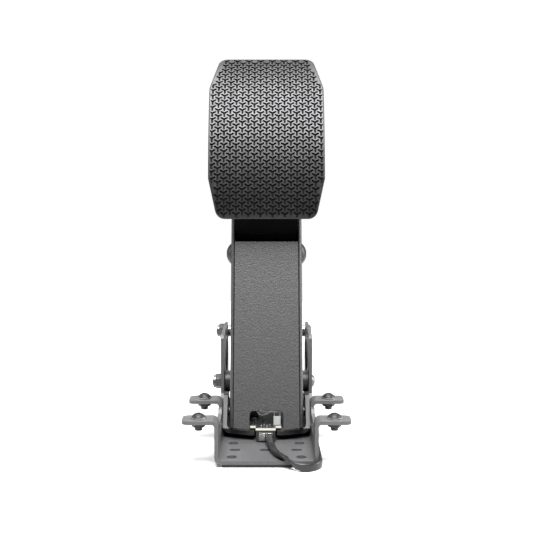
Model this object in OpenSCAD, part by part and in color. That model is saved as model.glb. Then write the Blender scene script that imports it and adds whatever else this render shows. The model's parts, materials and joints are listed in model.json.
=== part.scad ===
// Floor-mounted racing pedal: folded base with four mounting ears, swinging channel arm,
// curved foot plate, sprung push rod and a modular cable socket.
// Millimetres. +Z is up, -Y faces the driver, the origin is the middle of the base's underside.

/* [Base] */
// Length of the base from front to back
base_length = 168; // [160:1:200]
// Outer width of the base channel
base_width = 68; // [62:1:82]
// Thickness of the base sheet
base_sheet = 2.5; // [2:0.1:3]
// Thickness of the rubber pad under the base
pad_thickness = 2; // [1.5:0.1:4]
// Height of the mounting ears' top above the floor of the base
ear_height = 26.4; // [24:0.1:31]
// How far an ear reaches out from the base's side
ear_reach = 21.5; // [19:0.5:28]
// Length of an ear from front to back
ear_length = 16; // [14:0.5:18]
// Front to back distance between the ears' screws
ear_pitch = 55; // [48:1:60]
// Height of the side towers above the floor of the base
tower_height = 68.2; // [66:0.1:82]
// Diameter of the four holes in the floor
floor_hole = 7; // [5:0.1:8]

/* [Arm] */
// Outer width of the arm channel
arm_width = 52; // [48:0.5:54]
// Thickness of the arm's sheet
arm_sheet = 2.5; // [2:0.1:3]
// Length of the arm's flanges from the bottom edge to the top
arm_length = 184; // [176:1:210]
// Lean of the arm away from the driver at rest, in degrees
arm_lean = 17; // [14:0.5:20]
// Height of the arm's hinge above the floor of the base
pivot_height = 31.7; // [30:0.1:36]
// Distance of the arm's hinge behind the base's front edge
pivot_setback = 95; // [93:0.5:100]

/* [Foot plate] */
// Width of the foot plate at its widest
plate_width = 84.8; // [74:0.1:100]
// Width of the foot plate along its bottom edge
plate_foot_width = 74.4; // [64:0.1:90]
// Width of the foot plate along its top edge
plate_head_width = 73; // [64:0.1:90]
// Length of the foot plate along its curve
plate_arc = 134; // [115:1:140]
// Radius of the foot plate's front face
plate_radius = 170; // [150:1:200]
// Thickness of the foot plate
plate_thickness = 5; // [4:0.1:7]

/* [Fasteners and spring] */
// Diameter of the hinge bolt and the anchor bolt
bolt_d = 6; // [5:0.1:7]
// Diameter of the ear screws
ear_screw_d = 5; // [4:0.1:6]
// Diameter of the steel sleeve that the arm turns on
sleeve_d = 9; // [8.5:0.1:11]
// Outside diameter of the return spring
spring_d = 21.5; // [20:0.1:24]
// Diameter of the push rod
rod_d = 10; // [8:0.1:11]

/* [Cable] */
// Width of the flat cable
cable_width = 5.2; // [4.8:0.1:7]
// Thickness of the flat cable
cable_thickness = 2.4; // [2:0.1:2.6]

/* [Hidden] */
$fn = 48;
slack = 0.1;              // gap between pieces of one body that lie against each other
run = 0.05;               // radial clearance of a running fit
hole_gap = 0.2;           // radial clearance of a bolt hole

front = -base_length / 2;
floor_top = pad_thickness + base_sheet;
wall_out = base_width / 2;
wall_in = wall_out - base_sheet;
bend_out = 2 + base_sheet;

pivot_y = front + pivot_setback;
pivot_z = floor_top + pivot_height;

// Mounting ears
ear_top = floor_top + ear_height;
ear_x = wall_out + ear_reach / 2;
ear_front_y = front + ear_length / 2;
ear_rear_y = ear_front_y + ear_pitch;
ear_ys = [ear_front_y, ear_rear_y];
ear_hole_r = ear_screw_d / 2 + 0.25;
ear_washer_r = ear_screw_d;
ear_washer_t = 1;
ear_nut_t = 0.8 * ear_screw_d - 1;
ear_screw_tip = 2.4;
notch_drop = 7;

// Holes in the floor
floor_xs = [-23.1, 23.1];
floor_ys = [front + 9, front + 40.3];

// Towers
tower_front = pivot_y - 11.5;
tower_rear = front + base_length - 8;
tower_top = floor_top + tower_height;
anchor_y = pivot_y + 52.8;
anchor_z = tower_top - 6.4;
ring_y = pivot_y + 24;
ring_z = (pivot_z + tower_top) / 2 - 1.5;
ring_r = 12;
slot_front = pivot_y + 15;
slot_rear = anchor_y + 2;
slot_z = pivot_z - 5.6;
slot_r = 3.7;

// Inner cradle
cradle_sheet = 3;
cradle_out = wall_in - slack;
cradle_in = cradle_out - cradle_sheet;
web_bottom = floor_top + 3.8;
web_top = web_bottom + cradle_sheet;
cradle_nose = pivot_y - 49;
cradle_side = pivot_y - 41.6;
cradle_peak_y = pivot_y - 20;
cradle_peak_z = pivot_z - 6;
cradle_rear = pivot_y + 17;
cradle_tail_z = web_top + 6;
rivet_ys = [pivot_y - 12, pivot_y + 8];
rivet_z = web_top + 5;
rivet_r = 2;

// Arm, drawn in its own frame: v runs back from the face, u runs up along it
arm_out = arm_width / 2;
arm_in = arm_out - arm_sheet;
arm_bend = 3;
arm_foot_y = cradle_nose - 0.5;
arm_foot_z = web_top + 1.2;
function arm_point(v, u) = [
    arm_foot_y + u * sin(arm_lean) + v * cos(arm_lean),
    arm_foot_z + u * cos(arm_lean) - v * sin(arm_lean)
];
function arm_u(y, z) = (y - arm_foot_y) * sin(arm_lean) + (z - arm_foot_z) * cos(arm_lean);
function arm_v(y, z) = (y - arm_foot_y) * cos(arm_lean) - (z - arm_foot_z) * sin(arm_lean);
pivot_u = arm_u(pivot_y, pivot_z);
pivot_v = arm_v(pivot_y, pivot_z);
boss_r = 14;
web_length = arm_length - 48;
notch_x = 12;
notch_z = floor_top + 20.6;
notch_r = 3;
foot_rise = 1.6;
flange_depth = 24;

// Bushes between the arm and the base
bush_r = 6;
bush_flange_r = 8;

// Push rod line: from the arm's pin down to the anchor bolt
pin_y = pivot_y - 13;
pin_z = pivot_z + 60.3;
pin_r = 3;
rod_run = anchor_y - pin_y;
rod_drop = pin_z - anchor_z;
rod_line = sqrt(rod_run * rod_run + rod_drop * rod_drop);
rod_tilt = atan2(rod_drop, rod_run);
eye_r = 7.3;
eye_half = 6;
eye_bore_r = pin_r + 0.5;
collar_r = spring_d / 2;
collar_at = 11;
collar_t = 3;
travel = 15;
cup_front = collar_at + collar_t + 4 + travel;
cup_rear = rod_line - 8.5;
cup_r = spring_d / 2 - 3.6;
rod_end = cup_rear - travel - 1;
guide_flange_t = 3;
lug_half = 8;
lug_r = 8;
lug_neck_half = 7;
lug_neck_r = 6.5;
spring_wire = 3;

// Foot plate
plate_y = arm_foot_y + 26.5;
plate_z = floor_top + 155;
plate_mid = plate_arc / plate_radius * 90 / PI;
plate_round = 7;
plate_knee = 29.5;        // along the curve from the bottom edge to the lower knee
plate_shoulder = 31.5;    // and from the top edge down to the shoulder
axis_y = plate_y + plate_radius;
back_r = plate_radius - plate_thickness - slack;
bracket_half = arm_in - slack;
bracket_sheet = 3;
bracket_v = arm_sheet + 0.7;
bracket_low = arm_point(bracket_v, web_length + 7);
bracket_nose = [plate_y + plate_thickness + 0.5, plate_z + 3.5];
plate_screw_turns = [5.5, 12.5];
plate_screw_xs = [-13, 13];
plate_screw_r = 2;
plate_screw_bite = 3;

// Side screws that hold the bracket in the arm, as [v, u] pairs
side_screws_at = [[12.5, 129.6], [12.5, 164]];
side_screw_r = 3;
side_head_r = 7.95;
side_head_t = 3.9;
side_nut_t = 5;

// Socket board
board_x = -0.6;
board_t = 1.6;
board_z = web_top + 1.4;
board_nose = cradle_nose - 3;
board_rear = cradle_nose + 24;
board_half = 11;
tongue_half = 7;
socket_half = 6.8;
socket_front = cradle_nose - 4;
socket_rear = cradle_nose + 10;
socket_bottom = floor_top + 0.4;
plug_half = 4.82;
plug_h = 5.6;
plug_front = socket_front - 1;
plug_z = socket_bottom + 0.8;

// Hall sensor, and the magnet that sweeps past it
sensor_x = -12;
sensor_y = pivot_y - 15;
sensor_z = pivot_z - 10;
magnet_x = -17;
magnet_r = 3;

// The cable's route: its middle line, and how far each ring is turned on edge in degrees
cable_points = [
    [1.42, -43.4, 9.75], [1.6, -46, 9.4], [2.2, -50, 8], [2.9, -54, 6.9], [3.7, -59, 6.2],
    [4.7, -65, 6.1], [6.6, -72, 6.25], [9.2, -78.4, 6.6], [12, -83.6, 6.9], [15.2, -88, 5.5],
    [19, -91.3, 3.9], [23, -92.5, 3.1], [27.3, -91.7, 2.7], [31, -89.6, 2.7], [33.9, -86.3, 2.7],
    [35.35, -82.3, 2.7], [35.5, -77, 2.7], [35.5, -62, 2.7], [35.5, -46, 2.7], [35.5, -30, 2.7],
    [35.5, -14, 2.7], [35.5, 2, 2.7], [35.5, 18, 2.7], [35.5, 34, 2.7], [35.5, 50, 2.7],
    [35.5, 64, 2.7], [35.3, 76, 2.7], [34.4, 88, 2.7], [32.6, 98, 2.7], [31, 105, 2.7],
    [30.2, 108.3, 2.7]
];
cable_turns = [
    0, 0, 2, 3, 4, 5, 9, 15, 25, 43, 64, 80, 88, 90, 90, 90,
    90, 90, 90, 90, 90, 90, 90, 90, 90, 90, 90, 90, 90, 90, 90
];

// The stored length: a racetrack-shaped hank lying close behind the base
hank_out = 30;
hank_straight = 69;
hank_front = base_length / 2 + 34;
tie_w = 8;
tie_t = 1;
tie_y = hank_front + 10;
far_plug_x = hank_out - 5.6;
far_plug_y = hank_front + 47;
far_plug_long = 13;

// ---------------------------------------------------------------- helpers

// A round bar along X from x = a to x = b
module bar_x(a, b, y, z, r) {
    translate([a, y, z])
        rotate([0, 90, 0])
            cylinder(r = r, h = b - a);
}

// A side view outline, drawn as [y, z] points, given a width from x = a to x = b
module slab_x(a, b) {
    translate([a, 0, 0])
        rotate([90, 0, 90])
            linear_extrude(height = b - a)
                children();
}

module mirrored() {
    children();
    mirror([1, 0, 0])
        children();
}

// A hexagonal nut along X: across flats, then its bore
module nut_x(a, b, y, z, flats, bore_r) {
    difference() {
        translate([a, y, z])
            rotate([0, 90, 0])
                cylinder(d = flats / cos(30), h = b - a, $fn = 6);
        bar_x(a - 1, b + 1, y, z, bore_r);
    }
}

// A button head: a low dome with a hexagonal key hole, along +Z from the origin
module button_head(r, h, key) {
    difference() {
        intersection() {
            cylinder(r = r, h = h);
            translate([0, 0, h - (r * r + h * h) / (2 * h)])
                sphere(r = (r * r + h * h) / (2 * h));
        }
        translate([0, 0, h * 0.4])
            cylinder(d = key / cos(30), h = h, $fn = 6);
    }
}

module rounded_box_2d(x0, y0, x1, y1, r) {
    translate([x0 + r, y0])
        square([x1 - x0 - 2 * r, y1 - y0]);
    translate([x0, y0 + r])
        square([x1 - x0, y1 - y0 - 2 * r]);
    for (x = [x0 + r, x1 - r], y = [y0 + r, y1 - r])
        translate([x, y])
            circle(r = r);
}

module slot_2d(x0, x1, y, r) {
    translate([x0, y - r])
        square([x1 - x0, 2 * r]);
    for (x = [x0, x1])
        translate([x, y])
            circle(r = r);
}

// A straight channel section, open at the top, as [x, z]: walls up to h
module channel_2d(half, sheet, r_out, h) {
    difference() {
        union() {
            translate([-half, r_out])
                square([2 * half, h - r_out]);
            translate([-half + r_out, 0])
                square([2 * half - 2 * r_out, r_out]);
            for (x = [-half + r_out, half - r_out])
                translate([x, r_out])
                    circle(r = r_out);
        }
        translate([-half + sheet, r_out])
            square([2 * (half - sheet), h]);
        translate([-half + r_out, sheet])
            square([2 * (half - r_out), h]);
        for (x = [-half + r_out, half - r_out])
            translate([x, r_out])
                circle(r = r_out - sheet);
    }
}

// Places a child that is drawn along the push rod's line, from the arm's pin towards the anchor
module on_rod_line() {
    translate([0, pin_y, pin_z])
        rotate([-rod_tilt, 0, 0])
            rotate([-90, 0, 0])
                children();
}

// ---------------------------------------------------------------- base

module base_side_2d() {
    difference() {
        polygon([
            [front, pad_thickness],
            [front, ear_top - bend_out],
            [front + ear_length, ear_top - bend_out],
            [front + ear_length + 2, ear_top - notch_drop],
            [ear_rear_y - ear_length / 2 - 9, ear_top - notch_drop],
            [ear_rear_y - ear_length / 2 - 7, ear_top - bend_out],
            [tower_front - 3, ear_top - bend_out],
            [tower_front, ear_top - bend_out + 3],
            [tower_front, tower_top - 2],
            [tower_front + 2, tower_top],
            [tower_rear - 8, tower_top],
            [tower_rear, tower_top - 8],
            [tower_rear, floor_top + 26],
            [front + base_length, floor_top + 14],
            [front + base_length, pad_thickness]
        ]);
        translate([pivot_y, pivot_z])
            circle(r = bolt_d / 2 + hole_gap);
        translate([anchor_y, anchor_z])
            circle(r = bolt_d / 2 + hole_gap);
        slot_2d(slot_front, slot_rear, slot_z, slot_r);
        slot_2d(front + ear_length + 5, ear_rear_y - ear_length / 2 - 14, floor_top + 14.6, 3);
        for (y = rivet_ys)
            translate([y, rivet_z])
                circle(r = rivet_r + slack);
    }
}

module floor_cuts() {
    for (x = floor_xs, y = floor_ys)
        translate([x, y, 0])
            cylinder(d = floor_hole, h = floor_top + 5);
    for (i = [-1:1])
        translate([21 * i - 0.6, front + 24.6, 0])
            linear_extrude(height = floor_top + 5)
                slot_2d(-1.6, 1.6, 0, 2.2);
    translate([0, front + base_length - 30, 0])
        linear_extrude(height = floor_top + 5)
            slot_2d(-9, 9, 0, 4);
}

module ear(y) {
    difference() {
        union() {
            translate([wall_in + bend_out, y - ear_length / 2, ear_top - base_sheet])
                linear_extrude(height = base_sheet)
                    ear_2d();
            translate([wall_in + bend_out, y - ear_length / 2, ear_top - bend_out])
                rotate([-90, 0, 0])
                    linear_extrude(height = ear_length)
                        intersection() {
                            difference() {
                                circle(r = bend_out);
                                circle(r = bend_out - base_sheet);
                            }
                            translate([-bend_out, -bend_out])
                                square([bend_out, bend_out]);
                        }
        }
        translate([ear_x, y, 0])
            cylinder(r = ear_hole_r, h = ear_top + 1);
    }
}

module ear_2d() {
    long = wall_out + ear_reach - wall_in - bend_out;
    round_r = 4;
    square([long - round_r, ear_length]);
    translate([0, round_r])
        square([long, ear_length - 2 * round_r]);
    for (y = [round_r, ear_length - round_r])
        translate([long - round_r, y])
            circle(r = round_r);
}

module base_bracket() {
    color("#3b3c3e") {
        difference() {
            intersection() {
                translate([0, front, pad_thickness])
                    rotate([90, 0, 0])
                        mirror([0, 0, 1])
                            linear_extrude(height = base_length)
                                channel_2d(wall_out, base_sheet, bend_out, tower_top);
                slab_x(-wall_out - 1, wall_out + 1)
                    base_side_2d();
            }
            floor_cuts();
        }
        for (y = ear_ys)
            mirrored()
                ear(y);
        mirrored()
            pressed_ring();
    }
}

// A pressed stiffening ring on the inside of each tower
module pressed_ring() {
    translate([wall_in, ring_y, ring_z])
        rotate([0, -90, 0])
            rotate_extrude()
                translate([ring_r, 0])
                    intersection() {
                        circle(r = 1.3);
                        translate([-2, -0.4])
                            square([4, 2]);
                    }
}

module base_pad() {
    color("#101010")
        difference() {
            translate([-wall_out + bend_out + 0.4, front + 0.6, 0])
                cube([2 * (wall_out - bend_out - 0.4), base_length - 1.2, pad_thickness]);
            for (x = floor_xs, y = floor_ys)
                translate([x, y, -1])
                    cylinder(d = floor_hole, h = pad_thickness + 2);
        }
}

module cradle_side_2d() {
    difference() {
        polygon([
            [cradle_nose, web_bottom],
            [cradle_nose, web_top],
            [cradle_side, web_top],
            [cradle_peak_y, cradle_peak_z],
            [cradle_peak_y + 4, cradle_peak_z],
            [cradle_rear, cradle_tail_z],
            [cradle_rear, web_bottom]
        ]);
        for (y = rivet_ys)
            translate([y, rivet_z])
                circle(r = rivet_r + slack);
    }
}

module cradle() {
    color("#38393b")
        difference() {
            intersection() {
                translate([0, cradle_nose, web_bottom])
                    rotate([90, 0, 0])
                        mirror([0, 0, 1])
                            linear_extrude(height = cradle_rear - cradle_nose)
                                channel_2d(cradle_out, cradle_sheet, 5.5, cradle_peak_z);
                slab_x(-wall_out, wall_out)
                    cradle_side_2d();
            }
            // the web's front edge runs back from the nose to the sides
            mirrored()
                translate([0, 0, web_bottom - 1])
                    linear_extrude(height = cradle_sheet + 2)
                        polygon([
                            [notch_x, cradle_nose - 1],
                            [notch_x, cradle_nose],
                            [cradle_out + 1, cradle_side],
                            [cradle_out + 1, cradle_nose - 1]
                        ]);
            // room for the socket under its board
            translate([board_x - socket_half - 1.2, cradle_nose - 1, web_bottom - 1])
                cube([2 * socket_half + 2.4, socket_rear - cradle_nose + 2, cradle_sheet + 2]);
            for (x = board_screw_xs)
                translate([x, board_screw_y, web_bottom - 1])
                    cylinder(r = 1.25, h = cradle_sheet + 2);
            for (x = bumper_xs)
                translate([x, bumper_y, web_bottom - 1])
                    cylinder(r = bumper_stem_r + slack, h = cradle_sheet + 2);
        }
}

module cradle_rivets() {
    color("#8d9094")
        for (y = rivet_ys)
            mirrored() {
                bar_x(cradle_in, wall_out, y, rivet_z, rivet_r);
                bar_x(cradle_in - 1.2, cradle_in, y, rivet_z, rivet_r + 1.2);
            }
}

bumper_y = pivot_y - 33;
bumper_xs = [-arm_in + 0.5, arm_in - 0.5];
bumper_stem_r = 1.5;
bumper_r = 2.4;

module rest_bumpers() {
    color("#0f0f0f")
        for (x = bumper_xs)
            translate([x, bumper_y, web_bottom]) {
                cylinder(r = bumper_stem_r, h = cradle_sheet);
                translate([0, 0, cradle_sheet])
                    cylinder(r = bumper_r, h = arm_foot_z + foot_rise - 0.65 - web_top);
            }
}

// ---------------------------------------------------------------- bolts

module through_bolt(y, z, nut_t) {
    bar_x(-wall_out - nut_t - 0.8, wall_out, y, z, bolt_d / 2);
    translate([wall_out, y, z])
        rotate([0, 90, 0])
            button_head(bolt_d * 0.875, bolt_d * 0.5, bolt_d * 0.66);
}

module lock_nut(y, z) {
    flats = bolt_d * 5 / 3;
    nut_x(-wall_out - 4.2, -wall_out, y, z, flats, bolt_d / 2);
    difference() {
        bar_x(-wall_out - 6, -wall_out - 4.2, y, z, flats / 2 - 0.15);
        bar_x(-wall_out - 7, -wall_out, y, z, bolt_d / 2);
    }
}

module pivot_bolt() {
    color("#8f9194")
        through_bolt(pivot_y, pivot_z, 6);
}

module pivot_nut() {
    color("#8f9194")
        lock_nut(pivot_y, pivot_z);
}

module pivot_sleeve() {
    color("#a9abad")
        difference() {
            bar_x(-wall_in, wall_in, pivot_y, pivot_z, sleeve_d / 2);
            bar_x(-wall_out, wall_out, pivot_y, pivot_z, bolt_d / 2 + run);
        }
}

module anchor_bolt() {
    color("#8f9194")
        through_bolt(anchor_y, anchor_z, 6);
}

module anchor_nut() {
    color("#8f9194")
        lock_nut(anchor_y, anchor_z);
}

module anchor_spacers() {
    color("#a9abad")
        mirrored()
            difference() {
                bar_x(lug_half + slack, wall_in, anchor_y, anchor_z, 5);
                bar_x(0, wall_out, anchor_y, anchor_z, bolt_d / 2 + slack);
            }
}

module ear_screws() {
    head_z = ear_top + ear_washer_t;
    tip_z = ear_top - base_sheet - ear_nut_t - ear_screw_tip;
    color("#2c2d2f")
        for (y = ear_ys)
            mirrored()
                translate([ear_x, y, 0]) {
                    translate([0, 0, tip_z])
                        cylinder(r = ear_screw_d / 2, h = head_z - tip_z);
                    translate([0, 0, head_z])
                        button_head(ear_screw_d * 0.95, ear_screw_d * 0.55, ear_screw_d * 0.6);
                }
}

module ear_washers() {
    color("#9a9c9f")
        for (y = ear_ys)
            mirrored()
                translate([ear_x, y, ear_top])
                    difference() {
                        cylinder(r = ear_washer_r, h = ear_washer_t);
                        translate([0, 0, -1])
                            cylinder(r = ear_screw_d / 2 + 0.15, h = ear_washer_t + 2);
                    }
}

module ear_nuts() {
    color("#3a3b3d")
        for (y = ear_ys)
            mirrored()
                translate([ear_x, y, ear_top - base_sheet - ear_nut_t])
                    difference() {
                        cylinder(d = ear_screw_d * 1.6 / cos(30), h = ear_nut_t, $fn = 6);
                        translate([0, 0, -1])
                            cylinder(r = ear_screw_d / 2, h = ear_nut_t + 2);
                    }
}

// ---------------------------------------------------------------- socket and sensor

board_screw_xs = [board_x - board_half + 2.6, board_x + board_half - 2.6];
board_screw_y = board_rear - 4;

module socket_board() {
    color("#17402a")
        difference() {
            union() {
                translate([board_x - tongue_half, board_nose, board_z])
                    cube([2 * tongue_half, board_rear - board_nose, board_t]);
                translate([board_x - board_half, board_nose + 6, board_z])
                    cube([2 * board_half, board_rear - board_nose - 6, board_t]);
            }
            for (x = board_screw_xs)
                translate([x, board_screw_y, 0])
                    cylinder(r = 1.4, h = board_z + board_t + 1);
        }
}

module board_spacers() {
    color("#d7d7d2")
        for (x = board_screw_xs)
            translate([x, board_screw_y, web_top])
                difference() {
                    cylinder(r = 2.3, h = board_z - web_top);
                    translate([0, 0, -1])
                        cylinder(r = 1.4, h = board_z - web_top + 2);
                }
}

module board_screws() {
    color("#9a9c9f")
        for (x = board_screw_xs)
            translate([x, board_screw_y, web_bottom]) {
                cylinder(r = 1.25, h = board_z + board_t - web_bottom);
                translate([0, 0, board_z + board_t - web_bottom])
                    button_head(2.4, 1.5, 1.5);
            }
}

module modular_socket() {
    color("#26272a")
        difference() {
            translate([board_x - socket_half, socket_front, socket_bottom])
                cube([2 * socket_half, socket_rear - socket_front, board_z - socket_bottom]);
            translate([board_x - plug_half - slack, socket_front - 1, plug_z - slack])
                cube([2 * plug_half + 2 * slack, 11, plug_h + 2 * slack]);
        }
}

module wire_header() {
    color("#ecece6")
        difference() {
            translate([board_x + 5.6, board_nose + 8, board_z + board_t])
                cube([5, 10.5, 6.4]);
            translate([board_x + 6.5, board_nose + 9, board_z + board_t + 1.6])
                cube([3.2, 8.5, 6]);
        }
}

module sensor_holder() {
    color("#1b1c1e")
        difference() {
            translate([sensor_x - 3, sensor_y - 8, web_top])
                cube([9, 18, 8]);
            translate([sensor_x - 0.1, sensor_y - 6.6, web_top + 2])
                cube([1.8, 15.2, 10]);
        }
}

module sensor_board() {
    color("#17402a")
        translate([sensor_x, sensor_y - 6.5, web_top + 2.1])
            cube([1.6, 15, sensor_z + 4 - web_top]);
}

module sensor_chip() {
    color("#0c0c0c")
        translate([sensor_x - 1.2, sensor_y - 2, sensor_z - 1.5])
            cube([1.1, 4, 3]);
}

module holder_screws() {
    color("#9a9c9f")
        translate([-arm_out, magnet_y, magnet_z])
            rotate([0, -90, 0])
                button_head(2.4, 1.4, 1.5);
    color("#9a9c9f")
        bar_x(-arm_out, -arm_in + 4, magnet_y, magnet_z, 1.25);
}

// ---------------------------------------------------------------- cable

// One closed tube with an oblong section, swept along points; turns tilt the section
function unit(v) = v / norm(v);
function line_dir(p, i) = unit(p[min(i + 1, len(p) - 1)] - p[max(i - 1, 0)]);
function side_dir(d) = unit(cross(d, [0, 0, 1]));
function oblong(w, t) = [
    for (c = [[1, 0.45], [0.7, 1], [-0.7, 1], [-1, 0.45], [-1, -0.45], [-0.7, -1], [0.7, -1], [1, -0.45]])
        [c[0] * w / 2, c[1] * t / 2]
];
function ring_at(p, turns, i, section) =
    let (d = line_dir(p, i), s = side_dir(d), n = cross(s, d), a = turns[i])
    [for (q = section)
        p[i] + (q[0] * cos(a) - q[1] * sin(a)) * s + (q[0] * sin(a) + q[1] * cos(a)) * n];

module sweep(p, turns, section) {
    k = len(section);
    n = len(p);
    rings = [for (i = [0:n - 1]) each ring_at(p, turns, i, section)];
    sides = [
        for (i = [0:n - 2], j = [0:k - 1])
            let (a = i * k + j, b = i * k + (j + 1) % k)
            each [[a, b, a + k], [b, b + k, a + k]]
    ];
    near = [for (j = [1:k - 2]) [0, j + 1, j]];
    far = [for (j = [1:k - 2]) [(n - 1) * k, (n - 1) * k + j, (n - 1) * k + j + 1]];
    polyhedron(points = rings, faces = concat(sides, near, far), convexity = 6);
}

module cable() {
    color("#1d1d1f")
        sweep(cable_points, cable_turns, oblong(cable_width, cable_thickness));
}

module hank_2d(half, straight) {
    translate([-half, -straight / 2])
        square([2 * half, straight]);
    for (y = [-straight / 2, straight / 2])
        translate([0, y])
            circle(r = half);
}

hank_y = hank_front + hank_straight / 2;

module cable_hank() {
    color("#1d1d1f")
        translate([0, hank_y, 0.1])
            linear_extrude(height = cable_width)
                hank_2d(hank_out, hank_straight);
}

module hank_tie() {
    color("#0b0b0b")
        difference() {
            translate([-hank_out - tie_t - slack, tie_y - tie_w / 2, 0.1])
                cube([2 * (hank_out + tie_t + slack), tie_w, cable_width + slack + tie_t]);
            translate([-hank_out - slack, tie_y - tie_w, -1])
                cube([2 * (hank_out + slack), 2 * tie_w, 1.1 + cable_width + slack]);
        }
}

module cable_plug() {
    color("#c9ccce")
        translate([board_x - plug_half, plug_front, plug_z])
            cube([2 * plug_half, 11, plug_h]);
}

far_plug_z = cable_width + 0.1 + slack;

module far_plug() {
    color("#c9ccce")
        translate([far_plug_x, far_plug_y, far_plug_z]) {
            translate([-plug_half, 0, 0])
                cube([2 * plug_half, far_plug_long, plug_h]);
            translate([-1.6, -3, plug_h - 0.4])
                cube([3.2, far_plug_long, 1.4]);
        }
}

// Three thin leads from the header, over the board and up to the sensor
lead_ends = [0, 1.6, 3.2];
module sensor_wires() {
    for (i = [0:2])
        color(["#b33127", "#d8d8d8", "#202020"][i])
            sweep(
                lead_points(i),
                [for (k = [0:9]) 0],
                [for (k = [0:7]) [0.55 * cos(k * 45), 0.55 * sin(k * 45)]]
            );
}
function lead_points(i) =
    let (x0 = board_x + 8.1, y0 = board_nose + 10.2 + i * 2.8, e = lead_ends[i])
    [
        [x0, y0, board_z + 10.2], [x0 - 2, y0 - 0.5, board_z + 11.2], [x0 - 5, y0 - 1, board_z + 11 + i * 0.4],
        [x0 - 8, y0 - 0.6, board_z + 9.2 + i * 0.8], [x0 - 11, y0 + 1, board_z + 8 + i * 1.2],
        [x0 - 13, y0 + 4, board_z + 8 + i * 1.6], [x0 - 14.6, y0 + 8, board_z + 9 + i * 1.7],
        [x0 - 15.6, y0 + 12 - i, board_z + 10.5 + i * 1.8], [x0 - 16, y0 + 15 - i * 1.6, board_z + 12 + i * 1.9],
        [sensor_x + 2.3, sensor_y - 1.4 + e, board_z + 13 + i * 2]
    ];

// ---------------------------------------------------------------- arm

// The flange's outline in [v, u], drawn with straight edges and the round boss
module flange_2d() {
    polygon([
        [0, -4],
        [pivot_v - 8, -4],
        [pivot_v + boss_r - 4, pivot_u - boss_r + 3],
        [pivot_v + boss_r, pivot_u],
        [pivot_v + boss_r - 1, pivot_u + 12],
        [flange_depth + 5, 92],
        [flange_depth, 108],
        [flange_depth, arm_length - 6],
        [flange_depth - 6, arm_length],
        [3, arm_length],
        [0, arm_length - 3]
    ]);
    translate([pivot_v, pivot_u])
        circle(r = boss_r);
}

module flange_holes_2d() {
    translate([pivot_v, pivot_u])
        circle(r = bush_r + slack);
    for (s = side_screws_at)
        translate([s[0], s[1]])
            circle(r = side_screw_r + 0.15);
    translate([arm_v(pin_y, pin_z), arm_u(pin_y, pin_z)])
        circle(r = pin_r);
}

// Turns a side outline in [v, u] into a slab across the arm, from x = a to x = b
module arm_slab(a, b) {
    translate([0, arm_foot_y, arm_foot_z])
        rotate([-arm_lean, 0, 0])
            slab_x(a, b)
                children();
}

module arm_channel() {
    color("#3f4042")
        difference() {
            intersection() {
                translate([0, arm_foot_y, arm_foot_z])
                    rotate([-arm_lean, 0, 0])
                        translate([0, 0, -8])
                            linear_extrude(height = arm_length + 10)
                                channel_2d(arm_out, arm_sheet, arm_bend, 80);
                arm_slab(-arm_out - 1, arm_out + 1)
                    difference() {
                        flange_2d();
                        flange_holes_2d();
                    }
            }
            // the web stops below the foot plate
            arm_slab(-arm_in, arm_in)
                translate([-2, web_length])
                    square([arm_sheet + 4, arm_length]);
            // the bottom edge: level flanges, and a web that dips towards the middle
            translate([-arm_width, arm_foot_y - 30, arm_foot_z - 40])
                cube([2 * arm_width, 160, 40]);
            mirrored()
                translate([0, arm_foot_y - 20, 0])
                    rotate([-90, 0, 0])
                        linear_extrude(height = 130)
                            polygon([
                                [notch_x, -arm_foot_z + 1],
                                [notch_x, -arm_foot_z],
                                [arm_out + 1, -arm_foot_z - foot_rise],
                                [arm_out + 1, -arm_foot_z + 1]
                            ]);
            // cable notch
            translate([0, arm_foot_y - 20, 0])
                rotate([-90, 0, 0])
                    linear_extrude(height = 20 + arm_sheet + 12)
                        union() {
                            translate([-notch_x, -notch_z + notch_r])
                                square([2 * notch_x, notch_z]);
                            translate([-notch_x + notch_r, -notch_z])
                                square([2 * (notch_x - notch_r), notch_z]);
                            for (x = [-notch_x + notch_r, notch_x - notch_r])
                                translate([x, -notch_z + notch_r])
                                    circle(r = notch_r);
                        }
            translate([-arm_out - 1, magnet_y, magnet_z])
                rotate([0, 90, 0])
                    cylinder(r = 1.25, h = arm_sheet + 2);
        }
}

magnet_y = sensor_y;
magnet_z = sensor_z;

module magnet_holder() {
    color("#1b1c1e")
        difference() {
            union() {
                bar_x(-arm_in + slack, magnet_x + 2.2, magnet_y, magnet_z, 4.4);
                translate([-arm_in + slack, magnet_y - 6, magnet_z - 4])
                    cube([2.4, 12, 8]);
            }
            bar_x(magnet_x - 0.8, magnet_x + 3, magnet_y, magnet_z, magnet_r);
            bar_x(-arm_in - 1, -arm_in + 4, magnet_y, magnet_z, 1.25);
        }
}

module magnet() {
    color("#c4c6c8")
        bar_x(magnet_x - 0.8, magnet_x + 2.4, magnet_y, magnet_z, magnet_r);
}

module pivot_bushes() {
    color("#0d0d0e")
        mirrored()
            difference() {
                union() {
                    bar_x(arm_in - 1.5, arm_out, pivot_y, pivot_z, bush_r);
                    bar_x(arm_out, wall_in - 0.15, pivot_y, pivot_z, bush_flange_r);
                }
                bar_x(0, wall_out, pivot_y, pivot_z, sleeve_d / 2 + run);
            }
}

module arm_pin() {
    color("#a9abad")
        bar_x(-arm_out, arm_out, pin_y, pin_z, pin_r);
}

module side_screws() {
    color("#222325")
        for (s = side_screws_at)
            mirrored()
                arm_screw(s);
}

module arm_screw(s) {
    p = arm_point(s[0], s[1]);
    bar_x(bracket_half - bracket_sheet - side_nut_t - 1, arm_out, p[0], p[1], side_screw_r);
    translate([arm_out, p[0], p[1]])
        rotate([0, 90, 0])
            button_head(side_head_r, side_head_t, 4);
}

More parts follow.
